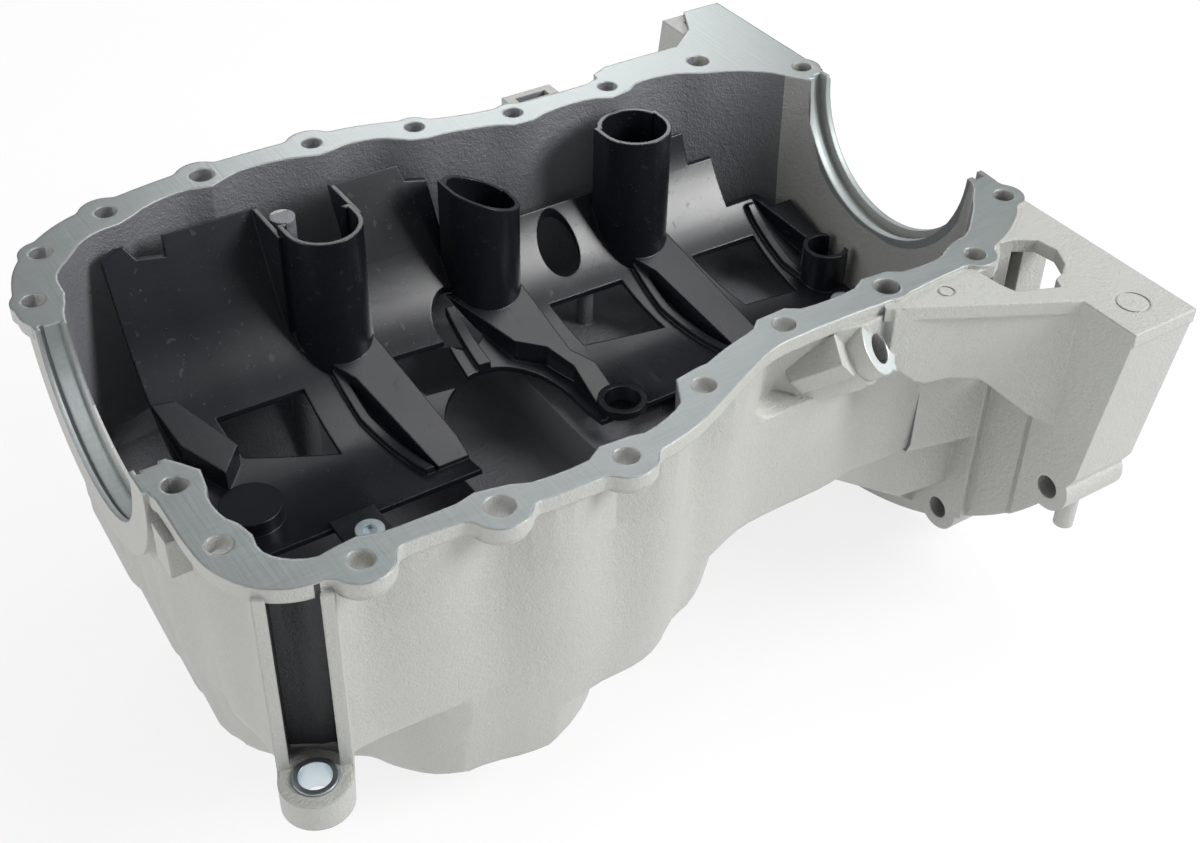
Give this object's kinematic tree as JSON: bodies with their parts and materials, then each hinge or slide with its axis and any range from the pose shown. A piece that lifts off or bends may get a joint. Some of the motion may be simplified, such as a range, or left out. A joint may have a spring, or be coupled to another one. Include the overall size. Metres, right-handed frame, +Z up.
{
  "type": "engine oil pan",
  "caption": "Cast aluminium engine oil pan with a machined rail, fluted walls, a deep sump, a gearbox flange and a black moulded windage tray inside.",
  "frame": {"origin": "centre of the bounding box's underside, below the crankshaft", "axes": "+X along the crankshaft towards the gearbox, +Y across the pan, +Z up out of the machined rail"},
  "size_m": [0.3916, 0.3284, 0.18],
  "materials": {
    "cast_alloy": "sand cast with machined rail",
    "tray_plastic": "moulded semi-gloss",
    "sleeve_steel": "zinc plated",
    "screw_steel": "zinc plated",
    "plug_steel": "plated",
    "washer_copper": "plain copper"
  },
  "bodies": {
    "root": {"sump_casting": "cast_alloy", "windage_tray": "tray_plastic", "foot_sleeve": "sleeve_steel", "tray_screws": "screw_steel", "drain_plug": "plug_steel", "drain_washer": "washer_copper"}
  },
  "joints": []
}
